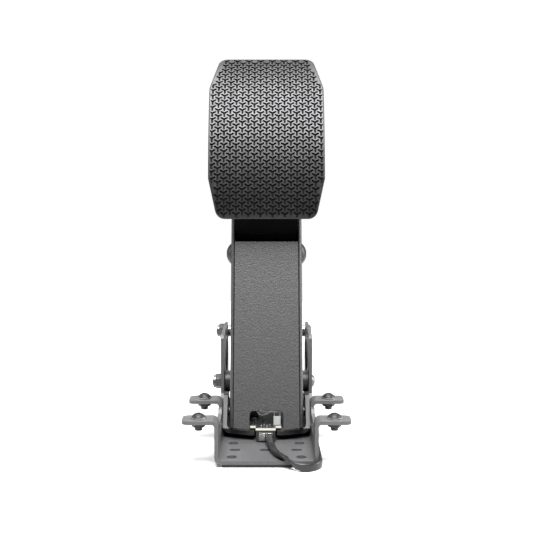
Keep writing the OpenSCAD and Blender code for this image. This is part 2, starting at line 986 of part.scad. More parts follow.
module side_nuts() {
    inner = bracket_half - bracket_sheet;
    color("#8f9194")
        for (s = side_screws_at)
            mirrored() {
                p = arm_point(s[0], s[1]);
                nut_x(inner - side_nut_t, inner, p[0], p[1], side_screw_r * 10 / 3, side_screw_r);
            }
}

// ---------------------------------------------------------------- foot plate

// Height on the chord of a point that lies s along the curve from the bottom edge
function plate_rise(s) = plate_radius * sin(s / plate_radius * 180 / PI - plate_mid);

module plate_outline_2d() {
    hull()
        for (side = [-1, 1]) {
            translate([side * (plate_foot_width / 2 - plate_round), plate_rise(0) + plate_round])
                circle(r = plate_round);
            translate([side * (plate_width / 2 - 2.3), plate_rise(plate_knee)])
                circle(r = 2);
            translate([side * (plate_width / 2 - 2), plate_rise(plate_arc - plate_shoulder)])
                circle(r = 2);
            translate([side * (plate_head_width / 2 - plate_round), plate_rise(plate_arc) - plate_round])
                circle(r = plate_round);
        }
}

module plate_shell(r_front, r_back) {
    difference() {
        bar_x(-plate_width, plate_width, axis_y, plate_z, r_front, $fn = 360);
        bar_x(-plate_width - 1, plate_width + 1, axis_y, plate_z, r_back, $fn = 360);
    }
}

module foot_plate() {
    color("#303133")
        difference() {
            intersection() {
                plate_shell(plate_radius, plate_radius - plate_thickness);
                translate([0, axis_y, plate_z])
                    rotate([-plate_mid, 0, 0])
                        translate([0, -plate_radius - 10, 0])
                            rotate([-90, 0, 0])
                                linear_extrude(height = 60)
                                    mirror([0, 1])
                                        plate_outline_2d();
            }
            for (a = plate_screw_turns, x = plate_screw_xs)
                plate_screw_place(a, x)
                    translate([0, 0, -slack - plate_screw_bite])
                        cylinder(r = plate_screw_r, h = plate_screw_bite + 1);
        }
}

// The bracket: a folded channel inside the arm whose web leans out to meet the plate's back
module bracket_side_2d() {
    difference() {
        polygon([
            arm_point(bracket_v, 119),
            arm_point(21, 119),
            arm_point(21, arm_length - 2),
            arm_point(-26, arm_length + 14),
            arm_point(-36, arm_length - 22),
            bracket_nose,
            bracket_low
        ]);
        difference() {
            translate([axis_y - 300, plate_z - 100])
                square([600, 400]);
            translate([axis_y, plate_z])
                circle(r = back_r, $fn = 360);
        }
        for (s = side_screws_at)
            translate(arm_point(s[0], s[1]))
                circle(r = side_screw_r + 0.15);
    }
}

// The room between its cheeks, one sheet's thickness behind the web
module bracket_hollow_2d() {
    lean = unit(bracket_nose - bracket_low);
    inward = bracket_sheet * [lean[1], -lean[0]];
    intersection() {
        translate([axis_y, plate_z])
            circle(r = back_r - bracket_sheet, $fn = 360);
        polygon([
            arm_point(bracket_v + bracket_sheet, 100),
            arm_point(60, 100),
            arm_point(60, arm_length + 60),
            arm_point(-60, arm_length + 60),
            bracket_nose + 30 * lean + inward,
            bracket_low + inward + lean,
            arm_point(bracket_v + bracket_sheet, web_length + 8)
        ]);
    }
}

module plate_bracket() {
    inside = bracket_half - bracket_sheet;
    color("#35363a")
        difference() {
            slab_x(-bracket_half, bracket_half)
                bracket_side_2d();
            slab_x(-inside, inside)
                bracket_hollow_2d();
            for (a = plate_screw_turns, x = plate_screw_xs)
                plate_screw_place(a, x)
                    translate([0, 0, -1])
                        cylinder(r = plate_screw_r, h = bracket_sheet + 2);
        }
}

// Places a child on the plate's back, with +Z pointing backwards out of it
module plate_screw_place(a, x) {
    translate([x, axis_y, plate_z])
        rotate([-a, 0, 0])
            translate([0, -back_r, 0])
                rotate([-90, 0, 0])
                    children();
}

module plate_screws() {
    color("#8f9194")
        for (a = plate_screw_turns, x = plate_screw_xs)
            plate_screw_place(a, x) {
                translate([0, 0, -slack - plate_screw_bite])
                    cylinder(r = plate_screw_r, h = 2 * slack + plate_screw_bite + bracket_sheet);
                translate([0, 0, bracket_sheet + slack])
                    button_head(3.8, 2.2, 2.5);
            }
}

// ---------------------------------------------------------------- push rod

module push_rod() {
    color("#b0b2b5") {
        difference() {
            union() {
                bar_x(-eye_half, eye_half, pin_y, pin_z, eye_r);
                on_rod_line() {
                    translate([0, 0, 4])
                        cylinder(r = rod_d / 2, h = rod_end - 4);
                    translate([0, 0, collar_at])
                        cylinder(r = collar_r, h = collar_t);
                }
            }
            bar_x(-eye_half - 1, eye_half + 1, pin_y, pin_z, eye_bore_r);
        }
    }
}

module bump_rubber() {
    color("#a3341f")
        on_rod_line()
            translate([0, 0, collar_at + collar_t])
                difference() {
                    cylinder(r = cup_r - 0.5, h = 3);
                    translate([0, 0, -1])
                        cylinder(r = rod_d / 2 + slack, h = 5);
                }
}

module guide_cup() {
    color("#2b2c2e")
        difference() {
            union() {
                on_rod_line() {
                    translate([0, 0, cup_front])
                        cylinder(r = cup_r, h = cup_rear - cup_front);
                    translate([0, 0, cup_rear - guide_flange_t])
                        cylinder(r = collar_r, h = guide_flange_t);
                    translate([-lug_neck_half, -lug_neck_r, cup_rear - 1])
                        cube([2 * lug_neck_half, 2 * lug_neck_r, rod_line - cup_rear + 1]);
                }
                bar_x(-lug_half, lug_half, anchor_y, anchor_z, lug_r);
            }
            on_rod_line()
                translate([0, 0, cup_front - 1])
                    cylinder(r = rod_d / 2 + run, h = cup_rear - cup_front - 0.5);
            bar_x(-lug_half - 1, lug_half + 1, anchor_y, anchor_z, bolt_d / 2 + run);
        }
}

module return_spring() {
    color("#b8332a")
        on_rod_line()
            translate([0, 0, collar_at + collar_t + slack])
                difference() {
                    cylinder(r = spring_d / 2 - 0.1, h = cup_rear - guide_flange_t - collar_at - collar_t - 2 * slack);
                    translate([0, 0, -1])
                        cylinder(r = spring_d / 2 - spring_wire, h = 80);
                }
}

base_bracket();
base_pad();
cradle();
cradle_rivets();
rest_bumpers();
pivot_bolt();
pivot_nut();
pivot_sleeve();
anchor_bolt();
anchor_nut();
anchor_spacers();
ear_screws();
ear_washers();
ear_nuts();
socket_board();
board_spacers();
board_screws();
modular_socket();
wire_header();
sensor_holder();
sensor_board();
sensor_chip();
sensor_wires();
cable_plug();
cable();
cable_hank();
hank_tie();
far_plug();
arm_channel();
foot_plate();
plate_bracket();
plate_screws();
side_screws();
side_nuts();
pivot_bushes();
arm_pin();
magnet_holder();
magnet();
holder_screws();
push_rod();
bump_rubber();
guide_cup();
return_spring();
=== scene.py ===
"""Sim racing pedal module: the visual model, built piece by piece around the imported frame."""

import json
import math

import bmesh
import bpy
from bpy.props import FloatProperty, FloatVectorProperty, IntProperty, PointerProperty
from mathutils import Matrix, Vector
from mathutils.geometry import delaunay_2d_cdt


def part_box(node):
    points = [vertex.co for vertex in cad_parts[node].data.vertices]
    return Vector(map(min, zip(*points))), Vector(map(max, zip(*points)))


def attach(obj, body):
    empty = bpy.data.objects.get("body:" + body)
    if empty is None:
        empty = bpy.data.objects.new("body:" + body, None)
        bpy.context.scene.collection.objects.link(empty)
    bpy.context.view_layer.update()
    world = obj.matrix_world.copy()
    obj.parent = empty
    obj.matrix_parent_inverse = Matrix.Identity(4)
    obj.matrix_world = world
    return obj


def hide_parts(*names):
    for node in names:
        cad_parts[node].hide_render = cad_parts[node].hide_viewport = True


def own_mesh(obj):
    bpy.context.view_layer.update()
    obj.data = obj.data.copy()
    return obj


bl_info = {
    "name": "Racing Pedal Module",
    "version": (1, 0, 0),
    "blender": (4, 5, 0),
    "location": "View3D > Sidebar > Pedal",
    "description": "Builds a floor-mounted racing pedal, its relief plate and flat cable",
    "category": "Object",
}

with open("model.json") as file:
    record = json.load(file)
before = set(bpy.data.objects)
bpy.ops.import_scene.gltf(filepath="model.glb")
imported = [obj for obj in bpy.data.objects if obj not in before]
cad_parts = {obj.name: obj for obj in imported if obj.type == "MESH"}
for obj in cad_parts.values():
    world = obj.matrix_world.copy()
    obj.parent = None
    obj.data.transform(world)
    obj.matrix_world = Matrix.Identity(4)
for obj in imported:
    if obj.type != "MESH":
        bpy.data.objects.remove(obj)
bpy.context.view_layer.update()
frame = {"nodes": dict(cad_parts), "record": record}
nodes = frame["nodes"]

MM = 0.001
body_of_node = {
    node: body
    for body, members in frame["record"]["behaviour"]["bodies"].items()
    for node in members
}

# Foot plate, in millimetres: the axis it is bent round, and its outline along the curve
PLATE_AXIS_Y = 158.0
PLATE_AXIS_Z = 159.5
PLATE_RADIUS = 170.0
PLATE_ARC = 134.0
PLATE_MID = PLATE_ARC / PLATE_RADIUS / 2
PLATE_THICKNESS = 5.0
PLATE_EDGE_ROUND = 0.8
PLATE_CORNER = 7.0
PLATE_SIDE_CORNER = 2.0
PLATE_BOTTOM_HALF = 30.2
PLATE_TOP_HALF = 29.5
PLATE_SIDE_LOW = (40.1, 29.5)
PLATE_SIDE_HIGH = (40.4, 102.5)
OUTLINE_STEP = 3

# Grooves of the relief, in millimetres: the chamfer at the lip, and how near the plate's edge
# a groove's centre, its lip and its floor may come
GROOVE_LIP = 0.13
GROOVE_CENTRE_GAP = 1.5
GROOVE_LIP_GAP = 1.1
GROOVE_FLOOR_GAP = 1.25
GROOVE_SHRINK = 0.94
BELOW_SURFACE = -0.01

# Folded sheet, in degrees: the least angle that counts as a fold or a cut edge
FOLD_ANGLE = 28.0

# Arm, in degrees and millimetres: its lean, and the seams beside its front face
ARM_LEAN = 17.0
SEAM_X = 23.2
SEAM_WIDTH = 0.7
SEAM_DEPTH = 0.9

# Push rod line, in metres: its direction from pin to anchor, and the spring's two seats on it
ROD_DIRECTION = Vector((0, 0.90883, -0.41717))
ROD_PIN = Vector((0, -0.002, 0.0965))
SPRING_START = 0.0141
SPRING_END = 0.0608
SPRING_OUTER_RADIUS = 10.65 * MM
SPRING_STEPS = 36
CLOSED_COIL = 1.03

# The cable's route in millimetres, with how far each ring is turned on edge in degrees
CABLE_ROUTE = [
    (1.42, -43.4, 9.75, 0), (1.6, -46, 9.4, 0), (2.2, -50, 8, 2), (2.9, -54, 6.9, 3),
    (3.7, -59, 6.2, 4), (4.7, -65, 6.1, 5), (6.6, -72, 6.25, 9), (9.2, -78.4, 6.6, 15),
    (12, -83.6, 6.9, 25), (15.2, -88, 5.5, 43), (19, -91.3, 3.9, 64), (23, -92.5, 3.1, 80),
    (27.3, -91.7, 2.7, 88), (31, -89.6, 2.7, 90), (33.9, -86.3, 2.7, 90),
    (35.35, -82.3, 2.7, 90),
    (35.5, -77, 2.7, 90), (35.5, -62, 2.7, 90), (35.5, -46, 2.7, 90), (35.5, -30, 2.7, 90),
    (35.5, -14, 2.7, 90), (35.5, 2, 2.7, 90), (35.5, 18, 2.7, 90), (35.5, 34, 2.7, 90),
    (35.5, 50, 2.7, 90), (35.5, 64, 2.7, 90), (35.3, 76, 2.7, 90), (34.4, 88, 2.7, 90),
    (32.6, 98, 2.7, 90), (30.7, 106, 2.7, 90),
]
CABLE_WIDTH = 5.2
CABLE_THICKNESS = 2.4
CABLE_CORNER = 0.9
CABLE_ON_EDGE = 2.7
ROUTE_GAP = 4.0

# The stored hank, in millimetres: its half width, the step between turns, and its two ends
HANK_RUN = 28.8
HANK_PITCH = 2.6
HANK_FRONT = 118.0
HANK_REAR = 187.0
HANK_TURNS = 4
HANK_GAP = 7
HANK_TAIL_START = 134.0

# Modular plugs, in millimetres: the middle of each one's lower front edge, and its length
PLUG_HALF = 4.82
PLUG_HEIGHT = 5.6
NEAR_PLUG = Vector((-0.6, -43, 5.7))
NEAR_PLUG_LENGTH = 11
FAR_PLUG = Vector((24.4, 165, 5.4))
FAR_PLUG_LENGTH = 13
BLADE_HALF_PITCH = 0.51

# Stage, in metres, degrees, millimetres of lens and watts
CAMERA_PLACE = (0, -0.627, 0.1802)
CAMERA_TILT = 5.1
CAMERA_LENS = 57.75
SENSOR_WIDTH = 36
FLOOR_HALF = 0.75
SOFT_FILL = 0.06
LIGHT_AIM = (0, 0, 0.1)
LIGHTS = (
    ("key", (0, -0.66, 1.5), (0.9, 1.15), 92),
    ("right", (1.3, 0.25, 0.6), (0.5, 1.0), 26),
    ("left", (-1.3, 0.25, 0.7), (0.5, 1.0), 12),
    ("back", (0, 1.2, 1.3), (1.2, 0.6), 22),
)


class PedalSizes(bpy.types.PropertyGroup):
    """Sizes that a user would change."""

    edge_break: FloatProperty(
        name="Edge break", description="Width of the softened edge on folded sheet",
        default=0.3 * MM, min=0, unit="LENGTH",
    )
    groove_pitch: FloatProperty(
        name="Groove pitch",
        description="Distance between two grooves of one row, in millimetres",
        default=8.82, min=5,
    )
    groove_row: FloatProperty(
        name="Row pitch", description="Distance between two rows of grooves, in millimetres",
        default=2.545, min=1.5,
    )
    groove_width: FloatProperty(
        name="Groove width", description="Width of one groove's arms, in millimetres",
        default=1.25, min=0.4,
    )
    groove_arm: FloatProperty(
        name="Groove arm", description="Length of one groove's arms, in millimetres",
        default=2.5, min=1,
    )
    groove_depth: FloatProperty(
        name="Groove depth", description="Depth of the grooves, in millimetres",
        default=1.1, min=0.2,
    )
    spring_wire: FloatProperty(
        name="Spring wire", description="Diameter of the return spring's wire",
        default=3 * MM, unit="LENGTH",
    )
    spring_coils: IntProperty(
        name="Spring coils", description="Number of working coils between the two closed ends",
        default=5, min=2,
    )


class PedalColours(bpy.types.PropertyGroup):
    """Colours that a user would change."""

    base_paint: FloatVectorProperty(
        name="Base coat", description="Powder coat on the folded base",
        default=(0.062, 0.062, 0.064), size=3, subtype="COLOR", min=0, max=1,
    )
    arm_paint: FloatVectorProperty(
        name="Arm coat", description="Powder coat on the swinging arm",
        default=(0.024, 0.024, 0.0246), size=3, subtype="COLOR", min=0, max=1,
    )
    plate_coat: FloatVectorProperty(
        name="Plate coat", description="Dark satin coat on the foot plate",
        default=(0.046, 0.046, 0.047), size=3, subtype="COLOR", min=0, max=1,
    )
    cable_jacket: FloatVectorProperty(
        name="Cable jacket", description="Vinyl of the flat cable",
        default=(0.005, 0.005, 0.0052), size=3, subtype="COLOR", min=0, max=1,
    )


def sizes():
    return bpy.context.scene.pedal_sizes


def colours():
    return bpy.context.scene.pedal_colours


# ------------------------------------------------------------------ finishes


def new_material(name):
    material = bpy.data.materials.new(name)
    material.use_nodes = True
    return material, material.node_tree


def object_noise(tree, scale, detail=3.0, stretch=(1, 1, 1)):
    """A noise pattern fixed to the piece, stretched along its axes."""
    where = tree.nodes.new("ShaderNodeTexCoord")
    mapping = tree.nodes.new("ShaderNodeMapping")
    mapping.inputs["Scale"].default_value = stretch
    noise = tree.nodes.new("ShaderNodeTexNoise")
    noise.inputs["Scale"].default_value = scale
    noise.inputs["Detail"].default_value = detail
    tree.links.new(where.outputs["Object"], mapping.inputs["Vector"])
    tree.links.new(mapping.outputs["Vector"], noise.inputs["Vector"])
    return noise


def ranged(tree, source, low, high, start=0.3, end=0.7):
    """The pattern's values from start to end, brought to low to high."""
    node = tree.nodes.new("ShaderNodeMapRange")
    node.inputs["From Min"].default_value = start
    node.inputs["From Max"].default_value = end
    node.inputs["To Min"].default_value = low
    node.inputs["To Max"].default_value = high
    tree.links.new(source, node.inputs["Value"])
    return node.outputs["Result"]


def tinted(tree, factor, dark, light):
    """A colour between two tints."""
    mix = tree.nodes.new("ShaderNodeMix")
    mix.data_type = "RGBA"
    mix.inputs["A"].default_value = (*dark, 1)
    mix.inputs["B"].default_value = (*light, 1)
    tree.links.new(factor, mix.inputs["Factor"])
    return mix.outputs["Result"]


def finish(name, colour, roughness, metallic=0.0, mottle=(30, 0.08), grain=(900, 0.2, 0.05),
           stretch=(1, 1, 1), spread=0.06, **sockets):
    """A surface with its own mottled tone, uneven gloss and fine grain.

    mottle is the scale and strength of the tone's variation, and grain is the scale,
    strength and depth in millimetres of the bump.
    """
    material, tree = new_material(name)
    shader = tree.nodes["Principled BSDF"]
    tone = object_noise(tree, mottle[0], 4, stretch)
    dark = [c * (1 - mottle[1]) for c in colour]
    light = [min(1, c * (1 + mottle[1])) for c in colour]
    tree.links.new(
        tinted(tree, ranged(tree, tone.outputs["Fac"], 0, 1), dark, light),
        shader.inputs["Base Color"],
    )
    gloss = object_noise(tree, mottle[0] * 3.1, 4, stretch)
    tree.links.new(
        ranged(tree, gloss.outputs["Fac"], roughness - spread, roughness + spread),
        shader.inputs["Roughness"],
    )
    texture = object_noise(tree, grain[0], 2, stretch)
    bump = tree.nodes.new("ShaderNodeBump")
    bump.inputs["Strength"].default_value = grain[1]
    bump.inputs["Distance"].default_value = grain[2] * MM
    tree.links.new(texture.outputs["Fac"], bump.inputs["Height"])
    tree.links.new(bump.outputs["Normal"], shader.inputs["Normal"])
    shader.inputs["Metallic"].default_value = metallic
    for socket, value in sockets.items():
        shader.inputs[socket.replace("_", " ")].default_value = value
    return material


def finish_once(name, *args, **kwargs):
    """The named finish, made on first use."""
    return bpy.data.materials.get(name) or finish(name, *args, **kwargs)


def base_coat():
    return finish_once("base_powder_coat", colours().base_paint, 0.5,
                       mottle=(1100, 0.16), grain=(1000, 0.7, 0.12))


def arm_coat():
    return finish_once("arm_powder_coat", colours().arm_paint, 0.5,
                       mottle=(1000, 0.45), grain=(850, 1.0, 0.24))


def plate_coat():
    return finish_once("plate_satin_coat", colours().plate_coat, 0.45, metallic=1.0,
                       mottle=(120, 0.1), grain=(2600, 0.35, 0.04))


# Near-black painted shade in recesses: the walls and floors of the plate's grooves and of the
# arm's seams.
def recess_painted_shade():
    return finish_once("recess_painted_shade", (0.004, 0.004, 0.0041), 0.75,
                       mottle=(120, 0.2), grain=(2600, 0.5, 0.05), Specular_IOR_Level=0.12)


# Near-black painted shade for the plate bracket's front-facing faces, which lie in the foot
# plate's shadow.
def bracket_painted_shade():
    return finish_once("bracket_painted_shade", (0.0015, 0.0015, 0.0015), 0.85,
                       mottle=(60, 0.15), grain=(1300, 0.5, 0.07), Specular_IOR_Level=0.03)


# Lighter, glossier finish on softened edges: partly edge wear, partly painted highlight along
# the edges.
def edge_wear_and_highlight():
    return finish_once("edge_wear_and_highlight", (0.11, 0.11, 0.112), 0.36, metallic=0.3,
                       mottle=(260, 0.35), grain=(1200, 0.3, 0.05))


def black_coat():
    return finish_once("black_powder_coat", (0.014, 0.014, 0.0144), 0.48,
                       mottle=(1100, 0.25), grain=(900, 0.8, 0.14))


def zinc_plate():
    return finish_once("zinc_plate", (0.42, 0.43, 0.44), 0.34, metallic=1.0,
                       mottle=(220, 0.12), grain=(1500, 0.18, 0.03))


def turned_steel():
    return finish_once("turned_steel", (0.5, 0.5, 0.51), 0.24, metallic=1.0,
                       mottle=(90, 0.06), grain=(2200, 0.16, 0.03), stretch=(0.12, 1, 1))


def black_oxide():
    return finish_once("black_oxide", (0.012, 0.012, 0.0123), 0.46,
                       mottle=(200, 0.25), grain=(1400, 0.25, 0.03), Specular_IOR_Level=0.35)


def dark_zinc():
    return finish_once("dark_zinc", (0.13, 0.13, 0.133), 0.36, metallic=1.0,
                       mottle=(260, 0.16), grain=(1500, 0.2, 0.03))


def spring_coat():
    return finish_once("spring_coat", (0.03, 0.03, 0.032), 0.33,
                       mottle=(160, 0.2), grain=(900, 0.25, 0.05))


def rubber():
    return finish_once("moulded_rubber", (0.014, 0.014, 0.014), 0.78,
                       mottle=(60, 0.25), grain=(700, 0.5, 0.12))


def red_rubber():
    return finish_once("cast_elastomer", (0.36, 0.05, 0.025), 0.55,
                       mottle=(120, 0.12), grain=(600, 0.25, 0.06))


def black_moulding():
    return finish_once("black_moulding", (0.02, 0.02, 0.021), 0.45,
                       mottle=(70, 0.18), grain=(1100, 0.3, 0.05))


def white_moulding():
    return finish_once("white_moulding", (0.4, 0.4, 0.385), 0.45,
                       mottle=(80, 0.05), grain=(900, 0.2, 0.03), Subsurface_Weight=0.1)


def clear_moulding():
    return finish_once("clear_moulding", (0.86, 0.88, 0.89), 0.08, spread=0.03,
                       mottle=(60, 0.02), grain=(300, 0.1, 0.03),
                       Transmission_Weight=0.85, IOR=1.58)


def solder_mask():
    return finish_once("solder_mask", (0.012, 0.013, 0.0125), 0.3,
                       mottle=(300, 0.25), grain=(1800, 0.25, 0.03), Coat_Weight=0.4)


def board_core():
    return finish_once("board_core", (0.62, 0.6, 0.52), 0.6,
                       mottle=(900, 0.12), grain=(2500, 0.4, 0.05), stretch=(1, 1, 6))


def gold_contact():
    return finish_once("gold_contact", (0.83, 0.6, 0.25), 0.22, metallic=1.0,
                       mottle=(400, 0.08), grain=(2000, 0.12, 0.02))


def tinned():
    return finish_once("tinned", (0.62, 0.62, 0.61), 0.32, metallic=1.0,
                       mottle=(500, 0.1), grain=(1800, 0.2, 0.03))


def jacket():
    return finish_once("flat_jacket", colours().cable_jacket, 0.38,
                       mottle=(60, 0.2), grain=(1200, 0.25, 0.05))


def pale_lead():
    return finish_once("pale_lead", (0.55, 0.55, 0.54), 0.45,
                       mottle=(300, 0.08), grain=(1200, 0.15, 0.03))


# ------------------------------------------------------------------ shapes


def mesh_object(name, bm, finishes, sharp=35.0):
    """Turns a finished bmesh into an object at the origin, smooth between its sharp edges."""
    limit = math.radians(sharp)
    for face in bm.faces:
        face.smooth = True
    for edge in bm.edges:
        edge.smooth = len(edge.link_faces) == 2 and edge.calc_face_angle(0) < limit
    mesh = bpy.data.meshes.new(name)
    bm.to_mesh(mesh)
    bm.free()
    for material in finishes:
        mesh.materials.append(material)
    obj = bpy.data.objects.new(name, mesh)
    bpy.context.scene.collection.objects.link(obj)
    return obj


def place(obj, body, replaced=()):
    """Hangs the piece on the body it rides on and hides the nodes it stands for."""
    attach(obj, body)
    if replaced:
        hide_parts(*replaced)
    return obj


def even_shading(obj):
    """Keeps broad flat faces flat beside their softened edges."""
    shading = obj.modifiers.new("Even shading", "WEIGHTED_NORMAL")
    shading.keep_sharp = True
    shading.weight = 80


def merged_copy(node):
    """The node's shape as a bmesh of whole faces."""
    bm = bmesh.new()
    bm.from_mesh(nodes[node].data)
    bmesh.ops.remove_doubles(bm, verts=bm.verts, dist=2e-6)
    bmesh.ops.dissolve_limit(
        bm, angle_limit=math.radians(0.4), use_dissolve_boundaries=False,
        verts=bm.verts, edges=bm.edges, delimit=set(),
    )
    return bm


def folded_edges(bm, angle):
    limit = math.radians(angle)
    return [e for e in bm.edges if len(e.link_faces) == 2 and e.calc_face_angle(0) > limit]


def break_edges(bm, width, material, segments=2, angle=FOLD_ANGLE):
    """Softens the sharp edges and gives the narrow new faces their own finish."""
    broken = bmesh.ops.bevel(
        bm, geom=folded_edges(bm, angle), offset=width, offset_type="OFFSET",
        segments=segments, profile=0.5, affect="EDGES", clamp_overlap=True, material=-1,
    )
    for face in broken["faces"]:
        face.material_index = material


def softened(node, finishes, width, segments=2, angle=FOLD_ANGLE):
    """A copy of a node with its edges broken, which stands for the node."""
    bm = merged_copy(node)
    break_edges(bm, width, len(finishes) - 1, segments, angle)
    obj = mesh_object(f"{node}_fine", bm, finishes)
    even_shading(obj)
    return place(obj, body_of_node[node], [node])


def rounded_block(bm, low, high, radius, segments=3, material=0):
    """Adds a box between two corners, with rounded edges, to the bmesh."""
    low, high = Vector(low), Vector(high)
    size = high - low
    made = bmesh.ops.create_cube(
        bm, size=1.0,
        matrix=Matrix.Translation((low + high) / 2) @ Matrix.Diagonal((*size, 1)),
    )
    edges = list({e for v in made["verts"] for e in v.link_edges})
    rounded = bmesh.ops.bevel(
        bm, geom=edges, offset=radius, offset_type="OFFSET", segments=segments,
        profile=0.5, affect="EDGES", clamp_overlap=True, material=-1,
    )
    for vert in rounded["verts"]:
        for face in vert.link_faces:
            face.material_index = material


def between(a, b, t):
    return a + (b - a) * t


def smooth_route(points, gap):
    """A smooth line through (x, y, z, turn) points, with a point about every gap."""
    route = []
    last = len(points) - 1
    for i in range(last):
        before, start = points[max(i - 1, 0)], points[i]
        end, after = points[i + 1], points[min(i + 2, last)]
        steps = max(1, round(math.dist(start[:3], end[:3]) / gap))
        for k in range(steps):
            t = k / steps
            route.append(tuple(
                0.5 * (2 * b + (c - a) * t + (2 * a - 5 * b + 4 * c - d) * t * t
                       + (3 * b - a - 3 * c + d) * t ** 3)
                for a, b, c, d in zip(before, start, end, after)
            ))
    route.append(tuple(points[-1]))
    return route


def flat_ring(width, thickness, corner, steps=4):
    """The outline of a flat cable with rounded edges."""
    ring = []
    for cx, cy, start in ((1, 1, 0), (-1, 1, 90), (-1, -1, 180), (1, -1, 270)):
        for k in range(steps + 1):
            a = math.radians(start + 90 * k / steps)
            ring.append((
                cx * (width / 2 - corner) + corner * math.cos(a),
                cy * (thickness / 2 - corner) + corner * math.sin(a),
            ))
    return ring


def swept(bm, points, ring):
    """Sweeps a ring along (x, y, z, turn) points, all in metres and degrees."""
    rings = []
    last = len(points) - 1
    for i, point in enumerate(points):
        ahead = Vector(points[min(i + 1, last)][:3]) - Vector(points[max(i - 1, 0)][:3])
        ahead.normalize()
        side = ahead.cross(Vector((0, 0, 1))).normalized()
        up = side.cross(ahead)
        turn = Matrix.Rotation(math.radians(point[3]), 2)
        row = []
        for q in ring:
            u, v = turn @ Vector(q)
            row.append(bm.verts.new(Vector(point[:3]) + u * side + v * up))
        rings.append(row)
    for near, far in zip(rings, rings[1:]):
        for k in range(len(ring)):
            n = (k + 1) % len(ring)
            bm.faces.new((near[k], near[n], far[n], far[k]))
    bm.faces.new(rings[0])
    bm.faces.new(list(reversed(rings[-1])))
    bmesh.ops.recalc_face_normals(bm, faces=bm.faces)


# ------------------------------------------------------------------ cable


def hank_route():
    """The stored length: runs side by side on edge, then up to the far plug."""
    points = []
    for turn in range(HANK_TURNS + 1):
        x = HANK_RUN - HANK_PITCH * turn
        inner = x - HANK_PITCH / 2
        end = HANK_REAR if turn < HANK_TURNS else HANK_TAIL_START
        points += [on_edge(x, y) for y in spaced(HANK_FRONT, end, HANK_GAP)]
        if turn == HANK_TURNS:
            break
        points += arc_points(0, HANK_REAR, x, 0, 180)
        points += [on_edge(-x, y) for y in spaced(HANK_REAR, HANK_FRONT, HANK_GAP)]
        points += arc_points(-HANK_PITCH / 2, HANK_FRONT, inner, 180, 360)
    points += [
        (18.9, 140, 3.6, 84), (20.0, 146, 5.4, 62), (21.7, 152, 7.2, 34),
        (23.3, 157.5, 8.1, 12), (24.2, 162, 8.2, 2), (24.4, 165, 8.2, 0),
    ]
    return points


def on_edge(x, y):
    """A point of the route where the flat cable stands on its edge."""
    return x, y, CABLE_ON_EDGE, 90


def spaced(start, end, gap):
    """Values from start towards end, without the end."""
    steps = max(1, round(abs(end - start) / gap))
    return [start + (end - start) * k / steps for k in range(steps)]


def arc_points(x, y, r, start, end):
    """Points on edge round an arc, without its end."""
    steps = max(8, round(math.radians(abs(end - start)) * r / ROUTE_GAP))
    angles = [math.radians(between(start, end, k / steps)) for k in range(steps)]
    return [on_edge(x + r * math.cos(a), y + r * math.sin(a)) for a in angles]


class PEDAL_OT_cable(bpy.types.Operator):
    """Flat four-core cable, its stored hank, tie and two modular plugs."""

    bl_idname = "pedal.cable"
    bl_label = "Cable"

    def execute(self, context):
        route = smooth_route(CABLE_ROUTE + hank_route(), ROUTE_GAP)
        points = [(x * MM, y * MM, z * MM, turn) for x, y, z, turn in route]
        bm = bmesh.new()
        ring = flat_ring(CABLE_WIDTH * MM, CABLE_THICKNESS * MM, CABLE_CORNER * MM)
        swept(bm, points, ring)
        cord = mesh_object("flat_cable", bm, [jacket()], sharp=60)
        place(cord, "base", ["cable", "cable_hank"])
        near = modular_plug("cable_plug_clear", "cable_plug", NEAR_PLUG, NEAR_PLUG_LENGTH)
        far = modular_plug("far_plug_clear", "far_plug", FAR_PLUG, FAR_PLUG_LENGTH)
        tie = hank_tie()
        return {"FINISHED"}


def plug_latch(bm, x, y, top):
    """The springy latch on top of a plug that is in no socket."""
    rounded_block(bm, (x - 1.6 * MM, y - 3 * MM, top + 0.35 * MM),
                  (x + 1.6 * MM, y + 9 * MM, top + 1.0 * MM), 0.2 * MM)
    rounded_block(bm, (x - 1.6 * MM, y + 7.6 * MM, top - 0.1 * MM),
                  (x + 1.6 * MM, y + 9.6 * MM, top + 0.9 * MM), 0.2 * MM)


def modular_plug(name, node, front, length):
    """A clear plug body with its ribs, latch and gold blades, which stands for a node."""
    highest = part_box(node)[1].z
    x, y, z = front * MM
    half = PLUG_HALF * MM
    end = y + length * MM
    top = z + PLUG_HEIGHT * MM
    bm = bmesh.new()
    rounded_block(bm, (x - half, y, z), (x + half, end, top), 0.35 * MM)
    rib_half = half * 0.72
    for k in range(3):
        rib = y + (1.2 + 1.5 * k) * MM
        rounded_block(bm, (x - rib_half, rib, top - 0.12 * MM),
                      (x + rib_half, rib + 0.7 * MM, min(top + 0.25 * MM, highest)),
                      0.1 * MM, 1)
    for k in (-3, -1, 1, 3):
        blade = x + k * BLADE_HALF_PITCH * MM
        rounded_block(bm, (blade - 0.17 * MM, end - 3.4 * MM, z + 0.5 * MM),
                      (blade + 0.17 * MM, end - 0.25 * MM, z + 2.6 * MM), 0.05 * MM, 1, 1)
    if node == "far_plug":
        plug_latch(bm, x, y, top)
    plug = mesh_object(name, bm, [clear_moulding(), gold_contact()])
    return place(plug, "base", [node])


